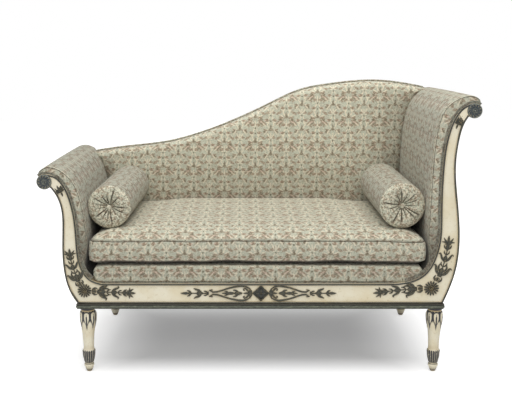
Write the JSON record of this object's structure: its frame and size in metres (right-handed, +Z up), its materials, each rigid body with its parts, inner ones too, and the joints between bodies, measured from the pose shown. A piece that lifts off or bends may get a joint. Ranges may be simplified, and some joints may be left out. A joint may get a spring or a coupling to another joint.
{
  "type": "recamier",
  "caption": "Upholstered recamier with scrolled ends of unequal height, a shaped back, painted carved frame, loose seat cushion and bolsters.",
  "frame": {"origin": "on the floor, under the middle of the overall length and depth", "axes": "+X along the seat towards the high end, +Y from the front to the back, +Z up"},
  "size_m": [1.5774, 0.704, 1.055],
  "materials": {
    "painted_wood": "aged cream paint, worn at the edges",
    "moulding_paint": "grey-green and cream paint, worn",
    "carved_ornament": "grey-green painted carving with cream wear",
    "dark_carving": "dark painted carving, rubbed on its high points",
    "bare_wood": "unpainted hardwood, sawn",
    "figured_fabric": "woven damask-like repeat, matt",
    "button_cloth": "same cloth as the bolsters",
    "welt_cord": "corded welt, matt",
    "jute_webbing": "coarse woven strap",
    "hessian": "coarse sacking",
    "dust_cloth": "thin black cotton"
  },
  "bodies": {
    "frame": {"arm_hessian_high": "hessian", "arm_hessian_low": "hessian", "arm_outside_cover_high": "figured_fabric", "arm_outside_cover_low": "figured_fabric", "arm_pad_high": "figured_fabric", "arm_pad_low": "figured_fabric", "arm_rail_high": "bare_wood", "arm_rail_low": "bare_wood", "arm_welt_high": "welt_cord", "arm_welt_low": "welt_cord", "back_lower_rail": "bare_wood", "back_outside_cover": "figured_fabric", "back_pad": "figured_fabric", "back_piping": "welt_cord", "back_upright_high": "bare_wood", "back_upright_low": "bare_wood", "back_upright_middle": "bare_wood", "back_webbing": "jute_webbing", "base_moulding_front": "moulding_paint", "base_moulding_high": "moulding_paint", "base_moulding_low": "moulding_paint", "base_moulding_rear": "moulding_paint", "centre_ornament": "carved_ornament", "corner_block_front_high": "bare_wood", "corner_block_front_low": "bare_wood", "corner_block_rear_high": "bare_wood", "corner_block_rear_low": "bare_wood", "corner_ornament_high": "carved_ornament", "corner_ornament_low": "carved_ornament", "crest_rail": "bare_wood", "deck_welt": "welt_cord", "dust_cover": "dust_cloth", "end_rail_high": "painted_wood", "end_rail_low": "painted_wood", "front_post_high": "painted_wood", "front_post_low": "painted_wood", "front_rail": "painted_wood", "leg_front_high": "painted_wood", "leg_front_low": "painted_wood", "leg_rear_high": "painted_wood", "leg_rear_low": "painted_wood", "neck_ornament_high": "carved_ornament", "neck_ornament_low": "carved_ornament", "rear_post_high": "painted_wood", "rear_post_low": "painted_wood", "rear_rail": "painted_wood", "scroll_rail_high": "bare_wood", "scroll_rail_low": "bare_wood", "scroll_rosette_high": "dark_carving", "scroll_rosette_low": "dark_carving", "seat_deck": "figured_fabric", "seat_webbing_cross": "jute_webbing", "seat_webbing_long": "jute_webbing"},
    "seat_cushion": {"seat_cushion": "figured_fabric"},
    "bolster_low": {"bolster_low": "figured_fabric", "bolster_buttons_low": "button_cloth"},
    "bolster_high": {"bolster_high": "figured_fabric", "bolster_buttons_high": "button_cloth"}
  },
  "joints": [
    {"name": "cushion_lift", "type": "slide", "parent": "frame", "child": "seat_cushion", "axis": [0, 0, 1], "range_m": [0, 0.7]},
    {"name": "bolster_low_lift", "type": "slide", "parent": "seat_cushion", "child": "bolster_low", "axis": [0, 0, 1], "range_m": [0, 0.6]},
    {"name": "bolster_high_lift", "type": "slide", "parent": "seat_cushion", "child": "bolster_high", "axis": [0, 0, 1], "range_m": [0, 0.6]}
  ]
}
